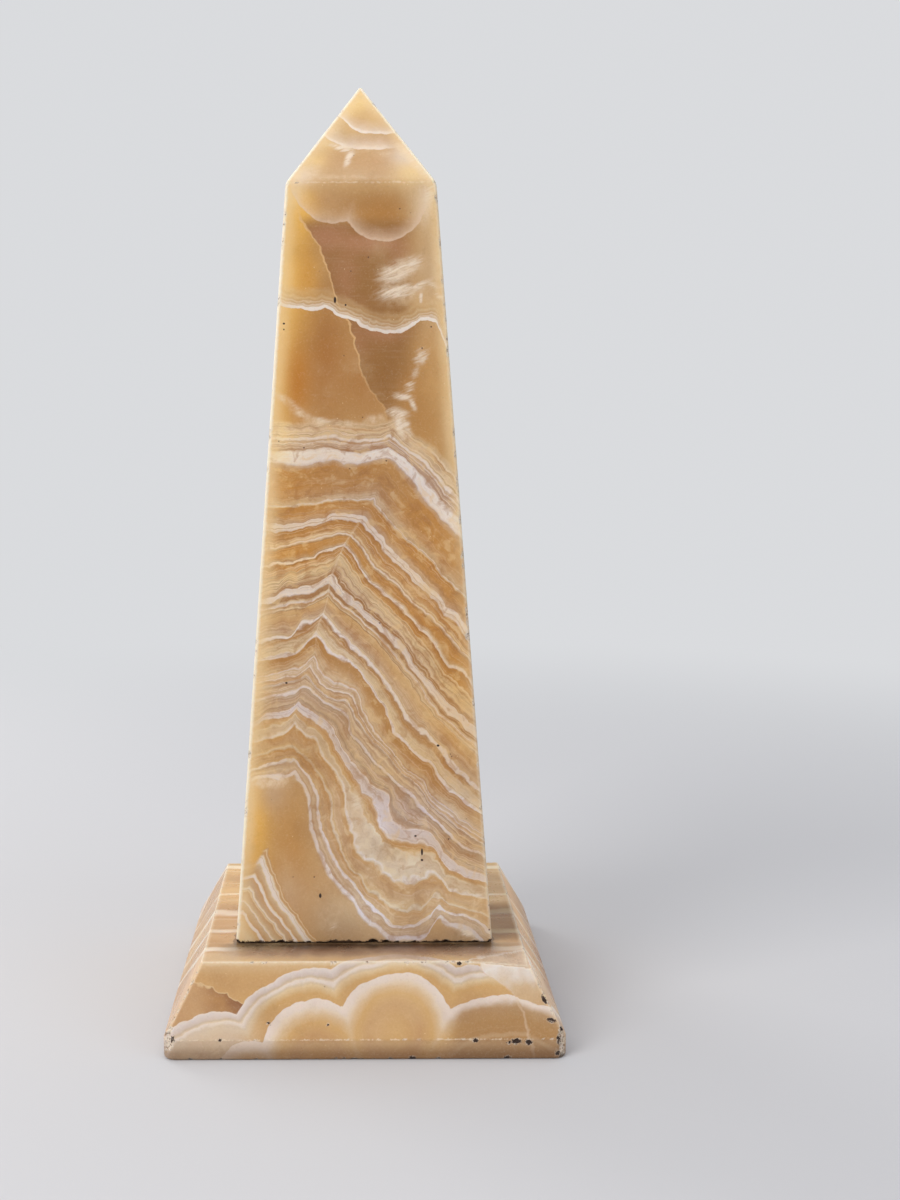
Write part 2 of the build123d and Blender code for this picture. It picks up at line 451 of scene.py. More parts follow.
def graded(half, middle_step):
    """Fractions -1 to 1 across a face: even in the middle and close together beside the arrises."""
    edge = np.cumsum(EDGE_STEPS)
    inner = half - edge[-1]
    middle = np.linspace(-inner, inner, max(2, round(2 * inner / middle_step)) + 1)
    left = -half + np.concatenate([[0], edge[:-1]])
    return np.concatenate([left, middle, -left[::-1]]) / half


def on_side(side, along, out):
    """X and Y of points `along` a side and `out` from the block's middle."""
    c, s = math.cos(side * math.pi / 2), math.sin(side * math.pi / 2)
    return c * along + s * out, s * along - c * out


def ring(level, centre_y, sides, corner_steps):
    """One level of a wrapped block, from the front left corner round, with round corners."""
    z, half, corner = level
    straight = half - corner
    angle = -math.pi / 2 + np.arange(1, corner_steps) / corner_steps * math.pi / 2
    points = []
    for side, fractions in enumerate(sides):
        along = np.concatenate([fractions * straight, straight + corner * np.cos(angle)])
        out = np.concatenate([np.full(len(fractions), half), straight - corner * np.sin(angle)])
        x, y = on_side(side, along, out)
        points.append(np.stack([x, y + centre_y, np.full(len(x), z)], 1))
    return np.vstack(points)


def block_faces(rows, columns):
    """Quads round a wrapped block, row by row, then a fan under it and a fan on top."""
    this = np.arange(columns)
    after = (this + 1) % columns
    row = np.arange(rows - 1)[:, None] * columns
    quads = np.stack([row + this, row + after, row + columns + after, row + columns + this], -1)
    pairs = list(zip(this.tolist(), after.tolist()))
    top = (rows - 1) * columns
    low_cap = rows * columns
    fans = [(low_cap, b, a) for a, b in pairs] + [(low_cap + 1, top + a, top + b) for a, b in pairs]
    return quads.reshape(-1, 4).tolist() + fans


def baking_map(rings, levels, centre_y, side_lengths, map_rows):
    """The map's (u, v) for each corner of those faces: the sides in `map_rows` rows, and the caps."""
    per_row = 4 // map_rows
    cell = np.array([1 / per_row, SIDES_HIGH / map_rows])
    room = cell - 2 * MAP_MARGIN
    across, foot = [], []
    for side, bottom in enumerate(np.split(rings[0], np.cumsum(side_lengths)[:-1])):
        steps = np.linalg.norm(np.diff(bottom, axis=0), axis=1)
        gone = np.cumsum([0, *steps, steps[-1]])
        start, end = gone[:-1] / gone[-1], gone[1:] / gone[-1]
        cell_u, cell_v = np.array([side % per_row, side // per_row]) * cell + MAP_MARGIN
        across.append(cell_u + np.stack([start, end, end, start], 1) * room[0])
        foot.append(np.full((len(start), 1), cell_v))
    path = np.array([(half, z) for z, half, _ in levels])
    climb = np.cumsum([0, *np.linalg.norm(np.diff(path, axis=0), axis=1)])
    low, high = climb[:-1] / climb[-1], climb[1:] / climb[-1]
    up = np.stack([low, low, high, high], 1) * room[1]
    sides = np.empty((len(low), len(rings[0]), 4, 2))
    sides[..., 0] = np.vstack(across)
    sides[..., 1] = up[:, None] + np.vstack(foot)
    corners = [sides.reshape(-1, 2)]
    widest = np.abs(np.vstack(rings)[:, :2] - [0, centre_y]).max()
    for middle, cap, order in zip(CAP_MIDDLES, (rings[0], rings[-1]), (-1, 1)):
        rim = (cap[:, :2] - [0, centre_y]) / widest * CAP_HALF + middle
        pair = [rim, np.roll(rim, -1, axis=0)][::order]
        corners.append(np.stack([np.broadcast_to(middle, rim.shape), *pair], 1).reshape(-1, 2))
    return np.vstack(corners)


class Stone:
    """One carved block: its points, how raw each of them is (0 polished, 1 broken) and its mesh."""

    def __init__(self, name, levels, half, centre_y, steps, corner_steps, map_rows):
        """A block wrapped round (z, half side, corner radius) levels, bottom to top, and capped.

        `steps` are the widths of the columns on the front and on the other sides."""
        self.centre_y = centre_y
        front_step, other_step = steps
        sides = [graded(half, front_step)] + [graded(half, other_step)] * 3
        rings = [ring(level, centre_y, sides, corner_steps) for level in levels]
        self.points = np.vstack(rings + [[[0, centre_y, level[0]] for level in (levels[0], levels[-1])]])
        self.raw = np.zeros(len(self.points))
        faces = block_faces(len(rings), len(rings[0]))
        self.mesh = bpy.data.meshes.new(name)
        self.mesh.from_pydata((self.points * MM).tolist(), [], faces)
        self.mesh.polygons.foreach_set("use_smooth", [True] * len(faces))
        lengths = [len(fractions) + corner_steps - 1 for fractions in sides]
        corners = baking_map(rings, levels, centre_y, lengths, map_rows)
        self.mesh.uv_layers.new(name="OFBake").data.foreach_set("uv", corners.ravel())

    def chip(self, at, radius, depth, outward, seed=None):
        """Strikes a chip: every point inside a rough ball is pushed back to the ball's surface."""
        if seed is None:
            seed = int(rng.integers(9999))
        centre = np.array(at) + np.array(outward) / np.linalg.norm(outward) * (radius - depth)
        away = self.points - centre
        distance = np.linalg.norm(away, axis=1)
        near = distance < radius * CHIP_REACH
        if not near.any():
            return
        bumps = 0.13 * noise(self.points[near], radius * 0.9, seed)
        bumps += 0.06 * noise(self.points[near], 1.3, seed + 1)
        distance = distance[near]
        push = np.clip(radius * (1 + bumps) - distance, 0, None)
        self.points[near] += away[near] / np.maximum(distance, 1e-6)[:, None] * push[:, None]
        rawness = np.clip(push / max(depth, 0.3) * CHIP_RAWNESS, 0, 1)
        self.raw[near] = np.maximum(self.raw[near], rawness)

    def chip_side(self, side, along, out, z, radius, depth, lift, seed=None):
        """A chip on a side, facing out of it and `lift` upwards."""
        x, y = on_side(side, along, out)
        self.chip((x, y + self.centre_y, z), radius, depth, (*on_side(side, 0, 1), lift), seed)

    def chip_arris(self, sx, sy, half, z, radius, depth, lift, seed=None):
        """A chip on the upright arris whose X and Y signs are sx and sy."""
        self.chip((sx * half, sy * half + self.centre_y, z), radius, depth, (sx, sy, lift), seed)

    def store(self, **fields):
        """Moves the mesh's points to where the chips left them, and gives it the fields."""
        self.mesh.vertices.foreach_set("co", (self.points * MM).ravel())
        self.mesh.update()
        for name, values in fields.items():
            values = np.asarray(values, np.float32)
            kind, key = "FLOAT", "value"
            if values.ndim == 2:
                kind, key = "FLOAT_COLOR", "color"
                values = np.pad(values, ((0, 0), (0, 1)), constant_values=1).ravel()
            self.mesh.attributes.new(name, kind, "POINT").data.foreach_set(key, values)


def from_arris(points, half, centre_y):
    """How far each point of a face is from the nearest upright arris."""
    return np.clip(half - np.abs(points[:, :2] - [0, centre_y]).min(1), 0, None)


# The shaft

SHAFT_STEPS = (1.32, 2.9)
ROW_STEP = 1.9
SHOULDER_RUB = 0.45  # mm
# Signs of X and Y, for an arris picked at random.
ARRISES = [(1, -1), (-1, -1), (1, 1), (-1, 1)]
# Chips seen on the front arrises: sign of X, V, radius.
ARRIS_MARKS = [
    (1, 190, 4.5), (1, 205, 3.4), (1, 233, 3), (1, 240, 3.6), (1, 262, 3), (1, 364, 3.8), (1, 371, 2.6),
    (1, 455, 3), (-1, 118, 3), (-1, 83, 3), (-1, 88, 2.2), (-1, 182, 2.4), (-1, 312, 2.6), (-1, 392, 2),
    (-1, 12, 3),
]


def shaft_levels():
    """(z, half side, arris radius) up the foot, the shaft, the shoulder, the head and the tip."""
    foot = BASE_TOP_Z + np.array([1.2, 1.9, 2.6, 3.4, 4.3, 5.3, 6.5, 8])
    below_shoulder = SHOULDER_Z - 1.6
    middle = np.linspace(foot[-1], below_shoulder, round((below_shoulder - foot[-1]) / ROW_STEP))[1:]
    shoulder = SHOULDER_Z + np.array([-0.8, 0, 0.8, 1.7])
    head = np.linspace(SHOULDER_Z + 3.2, TIP_Z - 2.5, 34)
    heights = np.concatenate([foot, middle, shoulder, head, [TIP_Z - 1.2, TIP_Z - 0.5]])
    body = [(z, half, min(1.3, half * 0.45)) for z, half in zip(heights, shaft_half(heights))]
    worn_foot = (BASE_TOP_Z, SHAFT_FOOT_HALF - FOOT_CHAMFER, 1)
    above_it = (BASE_TOP_Z + 0.45, SHAFT_FOOT_HALF - 0.6, 1.2)
    tip = [(TIP_Z - 0.08, TIP_HALF, 0.35), (TIP_Z, TIP_HALF * 0.6, 0.3)]
    return [worn_foot, above_it, *body, *tip]


def soften_shoulder(points):
    """Rubs the shoulder arris and the head's hips round."""
    rub = SHOULDER_RUB * np.exp(-((points[:, 2] - SHOULDER_Z) / 1.1) ** 2)
    out = points[:, :2] - [0, SETBACK]
    widest = np.maximum(np.abs(out).max(1), 1)
    points[:, :2] -= out * (rub / widest)[:, None]


def chip_foot(stone):
    """The nicks along the shaft's foot, closest together in front, and its knocked corners."""
    foot = SHAFT_FOOT_HALF - 0.3
    for side in range(4):
        along = -foot
        while along < foot:
            big = rng.uniform() < 0.22
            radius = rng.uniform(1.8, 3.2) if big else rng.uniform(0.9, 1.8)
            depth = radius * rng.uniform(0.4, 0.8)
            stone.chip_side(side, along, foot, BASE_TOP_Z + 0.2, radius, depth, -0.75)
            along += rng.uniform(0.9, 3.2) if side == 0 else rng.uniform(2, 7)
    for sx, sy in itertools.product((-1, 1), repeat=2):
        stone.chip_arris(sx, sy, foot, BASE_TOP_Z + 0.5, 5, 1.7, -0.9)


def chip_arrises(stone):
    """The nicks up the shaft's arrises: those that the photo shows, then scattered ones."""
    marks = [(sx, -1, v, radius) for sx, v, radius in ARRIS_MARKS]
    for _ in range(70):
        marks.append((*ARRISES[rng.integers(4)], rng.uniform(6, 455), rng.uniform(1.2, 2.8)))
    for sx, sy, v, radius in marks:
        z = v + BASE_TOP_Z
        depth = radius * rng.uniform(0.18, 0.36)
        stone.chip_arris(sx, sy, shaft_half(z) - 0.35, z, radius, depth, rng.uniform(-0.4, 0.4))


def chip_head(stone):
    """The nicks along the shoulder, its corners and the head's hips."""
    for _ in range(9):
        side = rng.integers(4)
        along = rng.uniform(-SHOULDER_HALF, SHOULDER_HALF)
        stone.chip_side(side, along, SHOULDER_HALF - 0.3, SHOULDER_Z, rng.uniform(0.9, 2.2), 0.5, 0.5)
    for sx, sy in itertools.product((-1, 1), repeat=2):
        stone.chip_arris(sx, sy, SHOULDER_HALF - 0.4, SHOULDER_Z, rng.uniform(2.2, 3.6), 1.1, 0.8)
    for _ in range(26):
        sx, sy = ARRISES[rng.integers(4)]
        z = rng.uniform(SHOULDER_Z + 4, TIP_Z - 4)
        stone.chip_arris(sx, sy, shaft_half(z) - 0.3, z, rng.uniform(1, 2.2), 0.5, 0.6)


def bundle_fields(u, v):
    """The place of points in the chevron bundle of the lower left corner, and how faint it is there."""
    top_u, top_v = BUNDLE_TOP
    limb = u - straight_runs(BUNDLE_LINE, v)
    slopes = BUNDLE_LEFT_SLOPE / BUNDLE_CREST_SLOPE
    crest_v = (v + BUNDLE_LEFT_SLOPE * (top_u - u) - slopes * top_v) / (1 - slopes)
    left_limb = 0.82 * (crest_v - top_v) - 0.6
    return np.maximum(limb, left_limb), smoothstep(left_limb - limb, 0, 4) * smoothstep(v, 38, 52)


def make_shaft():
    stone = Stone("shaft_stone", shaft_levels(), SHAFT_FOOT_HALF, SETBACK, SHAFT_STEPS, 3, 1)
    points = stone.points.copy()
    soften_shoulder(stone.points)
    chip_foot(stone)
    chip_arrises(stone)
    chip_head(stone)

    x, _, z = points.T
    u, v, depth = warped(points)
    edge = from_arris(points, shaft_half(z), SETBACK)
    rise = z - BASE_TOP_Z
    ground = ground_colours(u, v)
    bundle, bundle_faint = bundle_fields(u, v)
    at_front = smoothstep(depth, 14, 2)
    in_head = smoothstep(z, SHOULDER_Z - 12, SHOULDER_Z + 6)
    lit_left = straight_runs(LIT_LEFT, v) * smoothstep(edge, 17, 0)
    lit_right = straight_runs(LIT_RIGHT, v) * smoothstep(edge, 9, 0)
    stone.store(
        across=u, height=v, depth=depth, rise=rise, edge=edge, raw=stone.raw,
        growth_left=growth(u, v, "left"),
        growth_right=growth(u, v, "right"),
        ground=ground,
        tint=ground / linear(GROUND),
        calm=0.2 * smoothstep(v, 200, 160),
        grain=u - straight_runs(GRAIN_EDGE, v),
        brown_right=u - straight_runs(BROWN_END, v),
        white_band=v - line_height(WHITE_BAND, u),
        lobes=np.max([radius - np.hypot(u - cu, v - cv) for cu, cv, radius in LOBES], axis=0),
        head_line=v - line_height(HEAD_LINE, u),
        head_line_low=v - line_height(HEAD_LINE_LOW, u),
        bundle=bundle,
        bundle_faint=bundle_faint,
        veil=spots(u, v, VEILS) * at_front,
        haze=spots(u, v, HAZES) * at_front,
        rosy=spots(u, v, ROSY),
        leftness=np.maximum(smoothstep(-x, 10, 40), in_head),
        lit=np.where(x < 0, lit_left, lit_right),
        grime=smoothstep(rise, 6, 0),
    )
    return stone.mesh


# The base

BASE_STEPS = (1.25, 1.9)

# The flake lost from the front right corner of the top: three points of its facet's plane.
SPALL_START = np.array([60, -BASE_TOP_HALF, BASE_TOP_Z])
SPALL_BACK = np.array([BASE_TOP_HALF, 18 - BASE_TOP_HALF, BASE_TOP_Z])
SPALL_LOW = np.array([BASE_TOP_HALF, -BASE_TOP_HALF, BASE_TOP_Z - 3.5])
SPALL_DEPTH = 0.12  # mm that the struck facet lies inside the plane
SPALL_RAWNESS = 0.12  # it is nearly as smooth as the polish

# Runs of nicks round the base: Z, distance out, lift, how many, least and greatest radius, and the
# depth for each mm of radius.
BASE_NICKS = [
    (0.3, BASE_HALF - 0.4, -0.8, 90, 1, 2.6, 0.4),
    (BASE_TOP_Z - 0.2, BASE_TOP_HALF - 0.2, 0.7, 60, 0.9, 2.2, 0.3),
    (LIP_Z, BASE_HALF - 0.1, 0.3, 34, 0.8, 1.5, 0.25),
]
# Knocks at its corners: signs of X and Y, Z, radius, and the depth for each mm of radius.
CORNER_KNOCKS = [
    (-1, -1, 10, 6.5, 0.42), (-1, -1, 13.5, 3.6, 0.9), (-1, -1, 19, 4, 0.35), (1, -1, 12, 5.5, 0.45),
    (1, -1, 6, 3.6, 0.5), (1, -1, 17, 4.2, 0.4), (1, -1, 2, 3, 0.5), (1, 1, 9, 5, 0.4),
    (-1, 1, 5, 4.6, 0.4), (-1, 1, 15, 3, 0.5),
]
# Open holes in the base's front, dark inside: X, Z, half width, half height, turn in degrees.
FRONT_HOLES = [
    (65, 12, 1.6, 1.1, 0), (89, 11, 2.7, 1.5, 8), (85, 10.3, 1.3, 0.8, 0), (96.5, 10.5, 2, 1.7, 0),
    (107, 32.4, 1, 2.3, 28), (110.5, 22, 2.8, 0.9, -12), (115.5, 11, 1.6, 3, 5), (117, 17, 1, 2.5, 0),
    (114, 4, 1.3, 2.2, 0), (-114.5, 12.8, 2.2, 1.8, 20), (-57, 21, 1.4, 0.55, 10),
    (-22, 20.5, 1.2, 0.55, 0), (57, 51.3, 1.7, 1, 0), (-85, 12.6, 1.4, 0.7, 0), (28, 0.9, 1.8, 1.2, 0),
    (84, 0.9, 1.8, 1.2, 0),
]
HOLE_DEPTH = 3.5

# Botryoidal lobes in the base, as balls: X, Y, Z of the centre and the radius of the rim.
OUTER_BALLS = [(-84, -136, -16, 49.5), (-31, -136, 6, 55), (19, -136, 15, 61.5), (73, -134, 8, 56)]
INNER_BALLS = [(-28, -121, 1.5, 34), (18.5, -119, 16, 35.5), (84, -126, -34, 71), (-66, -128, -9, 22.5)]
STREAK_DIP = 1  # how far a white streak runs back for each mm down a side slope
CRACK_SHIFT = 1.6  # mm by which the lobes are shifted across the crack
# The crack near the front's right end, as (Z, X).
CRACK_LINE = [(2, 99), (15, 97), (30, 93), (36, 88), (42, 80), (46, 72), (50, 68)]
# The jagged line above the rose stone at the front's left end, as (X, Z).
JAG_LINE = [
    (-125, 47), (-107, 42), (-99, 40), (-89, 36), (-81, 35), (-76, 31), (-71, 28), (-60, 20), (-52, -10),
]


def base_levels():
    """(z, half side, corner radius) up the lip and the slopes, then inwards over the top."""
    levels = [
        (0, BASE_HALF - 1.6, BASE_CORNER - 1.2), (0.35, BASE_HALF - 0.8, BASE_CORNER - 0.5),
        (1.1, BASE_HALF - 0.2, BASE_CORNER),
    ]
    lip = np.linspace(2, LIP_Z - 0.8, 11)
    slopes = np.linspace(LIP_Z + 2, BASE_TOP_Z - 2.4, 33)
    heights = [*lip, LIP_Z, LIP_Z + 0.9, *slopes, BASE_TOP_Z - 1.3, BASE_TOP_Z - 0.5]
    corners = np.interp(heights, [LIP_Z, LIP_Z + 4.5], [BASE_CORNER, 1.6])
    levels += zip(heights, base_half(heights) - 0.05, corners)
    levels.append((BASE_TOP_Z - 0.12, BASE_TOP_HALF - 0.1, 1.5))
    insets = [0.35, 1, 2, *np.linspace(3.4, 34, 23)]
    return levels + [(BASE_TOP_Z, BASE_TOP_HALF - inset, 1.4) for inset in insets]


def strike_spall(stone):
    """Flakes the front right corner of the top, just inside the facet, and says where it is struck."""
    points = stone.points
    normal = np.cross(SPALL_LOW - SPALL_START, SPALL_BACK - SPALL_START)
    normal /= np.linalg.norm(normal)
    ripple = 0.16 * noise(points, 9, 61) + 0.07 * noise(points, 2.2, 62)
    cut = np.clip((points - SPALL_START) @ normal + SPALL_DEPTH + ripple, 0, None)
    cut *= (points[:, 0] > 30) & (points[:, 1] < -50)
    points -= normal * cut[:, None]
    stone.raw = np.maximum(stone.raw, np.minimum(cut, SPALL_RAWNESS))
    return np.clip(cut * 4, 0, 1)


def chip_base(stone):
    """The nicks along the base's edges, its open holes, its knocked corners and its nicked arrises."""
    for z, out, lift, count, least, greatest, depth in BASE_NICKS:
        for _ in range(count):
            side = rng.integers(4)
            along = rng.uniform(3 - out, out - 3)
            radius = rng.uniform(least, greatest)
            stone.chip_side(side, along, out, z, radius, radius * depth, lift)
    for x, z, wide, high, _ in FRONT_HOLES:
        radius = (wide * high) ** 0.5
        stone.chip_side(0, x, base_half(z), z, radius, radius * 0.7, 0.1, 700 + int(x))
    for sx, sy, z, radius, depth in CORNER_KNOCKS:
        half = min(base_half(z), BASE_HALF - 2) - 0.2
        stone.chip_arris(sx, sy, half, z, radius, radius * depth, 0.15, 900 + int(z * 7))
    for _ in range(44):
        sx, sy = ARRISES[rng.integers(4)]
        z = rng.uniform(17, BASE_TOP_Z - 2)
        stone.chip_arris(sx, sy, base_half(z) - 0.3, z, rng.uniform(1, 2.6), 0.55, 0.4)


def lobe_points(points, crack):
    """Points as the lobes see them: wobbled, turned about on the back half, and shifted at the crack."""
    x, y, _ = points.T
    seen = points.copy()
    back = y > 40
    seen[:, 0] = np.where(back, 14 - 0.9 * x, x)
    seen[:, 1] = np.where(back, -y, y)
    seen += np.stack([noise(points, 34, 20), noise(points, 40, 21), noise(points, 30, 22)], 1)
    seen[:, 2] += CRACK_SHIFT * (crack > 0) * (y < 0)
    return seen


def inside_balls(points, balls):
    """How far inside the nearest rim of the balls points are."""
    gaps = [radius - np.linalg.norm(points - centre, axis=1) for *centre, radius in balls]
    return np.max(gaps, axis=0)


def make_base():
    stone = Stone("base_stone", base_levels(), BASE_HALF, 0, BASE_STEPS, 5, 4)
    points = stone.points.copy()
    flake = strike_spall(stone)
    chip_base(stone)

    x, y, z = points.T
    half = base_half(z)
    crack = x - line_height(CRACK_LINE, z)
    lobes = lobe_points(points, crack)
    run_back = STREAK_DIP * (BASE_TOP_Z - z)
    beyond = np.clip(np.abs(np.stack([x, y - SETBACK], 1)) - SHAFT_FOOT_HALF, 0, None)
    widest = np.abs(points[:, :2]).max(1)
    rim = np.abs(z - BASE_TOP_Z) + np.clip(BASE_TOP_HALF - widest, 0, None)
    holes = [reach(x, z, *hole) + ((y + half) / HOLE_DEPTH) ** 2 for hole in FRONT_HOLES]
    on_top = smoothstep(z, 50, 52)
    # Where the painted contact shadow lies in front of the shaft: none at the far left end, and weaker at
    # the right end.
    in_front = smoothstep(-y, 64, 70) * smoothstep(x, -96, -68) * (1 - 0.6 * smoothstep(x, 74, 86))
    on_slope = smoothstep(np.abs(x) - np.abs(y), -3, 3) * smoothstep(z, 51, 49)
    low_middle = smoothstep(z, 32, 16) * smoothstep(y, -75, -55) * smoothstep(y, 40, 20)
    stone.store(
        rise=z, raw=stone.raw, flake=flake, crack=crack, at_joint=on_top,
        outer_lobes=inside_balls(lobes, OUTER_BALLS),
        inner_lobes=inside_balls(lobes, INNER_BALLS),
        layer=y - run_back + 2 * noise(points, 55, 23) + 0.6 * noise(points, 12, 24),
        jag=z - line_height(JAG_LINE, x),
        rose_fade=smoothstep(-x, 86, 102),
        front_face=smoothstep(run_back - y, 60, 97),
        gap=np.hypot(*beyond.T),
        in_front=on_top * in_front,
        # Painted light and shade: slopes lighter towards the front and on the right, the right slope darker
        # low in the middle, the top lighter at the back, and the shaft's shadow on the top's right strip.
        side_near=on_slope * smoothstep(-y, 30, 90),
        side_right=on_slope * (x > 0) * (0.2 + 0.8 * smoothstep(z, 14, 44)),
        side_low=on_slope * (x > 0) * low_middle,
        top_lift=on_top * smoothstep(y, -10, 15),
        top_shade=on_top * smoothstep(x, 70, 80) * smoothstep(y, -68, -56) * smoothstep(y, 14, -4),
        edge=np.minimum(from_arris(points, half, 0), rim),
        lip_edge=np.abs(z - LIP_Z) + np.clip(half - widest, 0, None),
        leftness=smoothstep(-x, 55, 80),
        rightness=smoothstep(x, 44, 58),
        grime=smoothstep(z, 5, 0),
        holes=np.minimum(np.sqrt(np.min(holes, axis=0)), 9),
    )
    return stone.mesh


# Node graphs

class Value:
    """A number or a colour that nodes work out. Arithmetic on it adds nodes to its graph."""

    def __init__(self, graph, socket):
        self.graph = graph
        self.socket = socket

    def __add__(self, other):
        return self.graph.math("ADD", self, other)

    def __sub__(self, other):
        return self.graph.math("SUBTRACT", self, other)

    def __rsub__(self, other):
        return self.graph.math("SUBTRACT", other, self)

    def __mul__(self, other):
        return self.graph.math("MULTIPLY", self, other)

    def __truediv__(self, other):
        return self.graph.math("DIVIDE", self, other)

    def __pow__(self, other):
        return self.graph.math("POWER", self, other)

    def __abs__(self):
        return self.graph.math("ABSOLUTE", self)

    def span(self, *limits):
        """This number taken from one range to another, as Graph.span says."""
        return self.graph.span(self, *limits)

    def mix(self, other, amount, blend="MIX"):
        """This colour with another laid over it."""
        return self.graph.mix(self, other, amount, blend)


class Graph:
    """Short calls for wiring one node tree, a material's or the world's."""

    def __init__(self, holder):
        holder.use_nodes = True
        self.nodes = holder.node_tree.nodes
        self.links = holder.node_tree.links
        self.coords = self.node("TexCoord", output="Object")

    def wire(self, node, inputs):
        """Sets or links a node's inputs, by name or number; three numbers for a colour are sRGB."""
        for key, value in inputs.items():
            socket = node.inputs[key]
            if isinstance(value, Value):
                self.links.new(value.socket, socket)
            elif socket.type == "RGBA" and len(value) == 3:
                socket.default_value = (*linear(value), 1)
            else:
                socket.default_value = value

    def node(self, kind, inputs=None, output=0, **settings):
        """One output of a new node with these settings and inputs."""
        made = self.nodes.new("ShaderNode" + kind)
        for key, value in settings.items():
            setattr(made, key, value)
        self.wire(made, inputs or {})
        return Value(self, made.outputs[output])

    def __getitem__(self, name):
        """A number field of the mesh."""
        return self.node("Attribute", output="Fac", attribute_name=name)

    def tint(self, name):
        """A colour field of the mesh."""
        return self.node("Attribute", output="Color", attribute_name=name)

    def math(self, operation, a, b=0, **settings):
        return self.node("Math", {0: a, 1: b}, operation=operation, **settings)

    def span(self, value, low, high, out_low=0, out_high=1):
        """value taken from low..high to out_low..out_high, smoothly and clamped."""
        limits = {"From Min": low, "From Max": high, "To Min": out_low, "To Max": out_high}
        return self.node("MapRange", {"Value": value, **limits}, "Result", interpolation_type="SMOOTHSTEP")

    def mix(self, a, b, amount, blend="MIX"):
        return self.node("Mix", {0: amount, 6: a, 7: b}, 2, data_type="RGBA", blend_type=blend)

    def vector(self, x, y=0, z=0):
        return self.node("CombineXYZ", {0: x, 1: y, 2: z})

    def noise(self, scale, detail=2, roughness=0.5, distortion=0, at=None):
        """Noise over the object, or over another vector."""
        bumps = {"Scale": scale, "Detail": detail, "Roughness": roughness, "Distortion": distortion}
        return self.node("TexNoise", {"Vector": at or self.coords, **bumps}, "Fac")

    def cells(self, scale):
        return self.node("TexVoronoi", {"Vector": self.coords, "Scale": scale}, "Distance")

    def ramp(self, value, stops):
        """A colour or a number by place: (place, shade) stops, up to 31 of them in each node."""
        shades = None
        for first in range(0, len(stops) - 1, 30):
            part = stops[first:first + 31]
            low, high = part[0][0], part[-1][0]
            node = self.nodes.new("ShaderNodeValToRGB")
            elements = node.color_ramp.elements
            while len(elements) < len(part):
                elements.new(1)
            for element, (place, shade) in zip(elements, part):
                element.position = (place - low) / (high - low)
                element.color = (*(linear(shade) if isinstance(shade, tuple) else [shade] * 3), 1)
            self.wire(node, {"Fac": (value - low) / (high - low)})
            shown = Value(self, node.outputs["Color"])
            shades = shades.mix(shown, self.math("GREATER_THAN", value, low)) if shades else shown
        return shades


# What both stones share

def wavy(g, field, slow, fast):
    """A layer field pushed to and fro, so that its lines wander in small lobes with cusps between them."""
    broad = g.noise(70, 1.5) - 0.5
    fine = g.noise(420) - 0.5
    lobe = 0.25 - g.cells(170) ** 2
    return field + broad * slow + fine * fast + lobe * (fast * 2.6)


def clouded(g, colour):
    """Soft clouding and a fine grain, and then a little more colour."""
    cloud = g.noise(26, 4, 0.55)
    grain = g.noise(900, 3, 0.6)
    colour = colour.mix((140, 96, 58), cloud.span(0.52, 0.30, 0, 0.20))
    colour = colour.mix((244, 218, 176), cloud.span(0.52, 0.75, 0, 0.16))
    colour = colour.mix((250, 236, 214), grain.span(0.5, 0.8, 0, 0.10))
    colour = colour.mix((120, 84, 52), grain.span(0.5, 0.2, 0, 0.10))
    return grain, g.node("HueSaturation", {"Color": colour, "Saturation": 1.06, "Value": 1.02})


def speckled(g, colour):
    """Sparse dark pits and bright specks."""
    pit = g.cells(130).span(0.085, 0.045) * g.noise(38).span(0.55, 0.62)
    bright = g.cells(210).span(0.09, 0.04) * g.noise(47).span(0.54, 0.60)
    return pit, colour.mix((98, 66, 44), pit * 0.85).mix((250, 226, 180), bright * 0.55)


def finish_stone(g, colour, edge_width, glow_strength, opening):
    """Clouding, painted light on the arrises (a soft glow and a bright line) with pale rubbing, pits, raw
    chips, dark marks, chips darker near the bottom, and the polish.
    """
    edge, raw = g["edge"], g["raw"]
    grain, colour = clouded(g, colour)
    # Painted light on the arrises: a soft warm glow a few mm wide and a bright line on the arris itself,
    # both scaled by the edge light strength.
    glow = (edge + g.noise(60, 3) * (edge_width * 0.5)).span(edge_width * 1.2, edge_width * 0.25)
    colour = colour.mix((246, 214, 162), glow * glow_strength * 0.7)
    near = edge + g.noise(420, 3) * 1.6
    colour = colour.mix((252, 240, 216), near.span(3.6, 1.4) * glow_strength)
    # Pale rubbing right on the arris, its strength tied to that of the painted light.
    rub = near.span(1.7, 0.9) * g.span(glow_strength, 0.2, 0.6, 0.4, 0.7)
    pit, colour = speckled(g, colour.mix((250, 240, 224), rub))

    crumb = g.noise(700, 4, 0.65)
    colour = colour.mix(g.mix((238, 224, 206), (120, 88, 62), crumb.span(0.46, 0.66)), raw * 0.8)
    # Raw chips darker near the bottom of each piece.
    colour = colour.mix((44, 31, 24), raw * g["grime"] * crumb.span(0.36, 0.46, 0.35, 1))
    # The dark marks: the dark insides of pits and holes, and on the shaft the painted shade along its foot.
    colour = colour.mix((60, 43, 34), opening)

    rough = g.math("ADD", g.noise(34, 4, 0.6).span(0.3, 0.7, 0.24, 0.38), raw * 0.4, use_clamp=True)
    relief = grain * 0.05 + crumb * raw * 1.2 - pit * 1.2 + g.noise(24) * 0.6
    g.wire(g.nodes["Principled BSDF"], {
        "Base Color": colour,
        "Roughness": g.math("ADD", rough, rub * 0.2, use_clamp=True),
        "IOR": 1.5,
        "Specular IOR Level": 0.35,
        "Subsurface Weight": 0.12,
        "Subsurface Radius": (1, 0.62, 0.34),
        "Subsurface Scale": 0.006,
        "Normal": g.node("Bump", {"Strength": 0.5, "Distance": 0.0006, "Height": relief}),
    })


# The shaft's looks

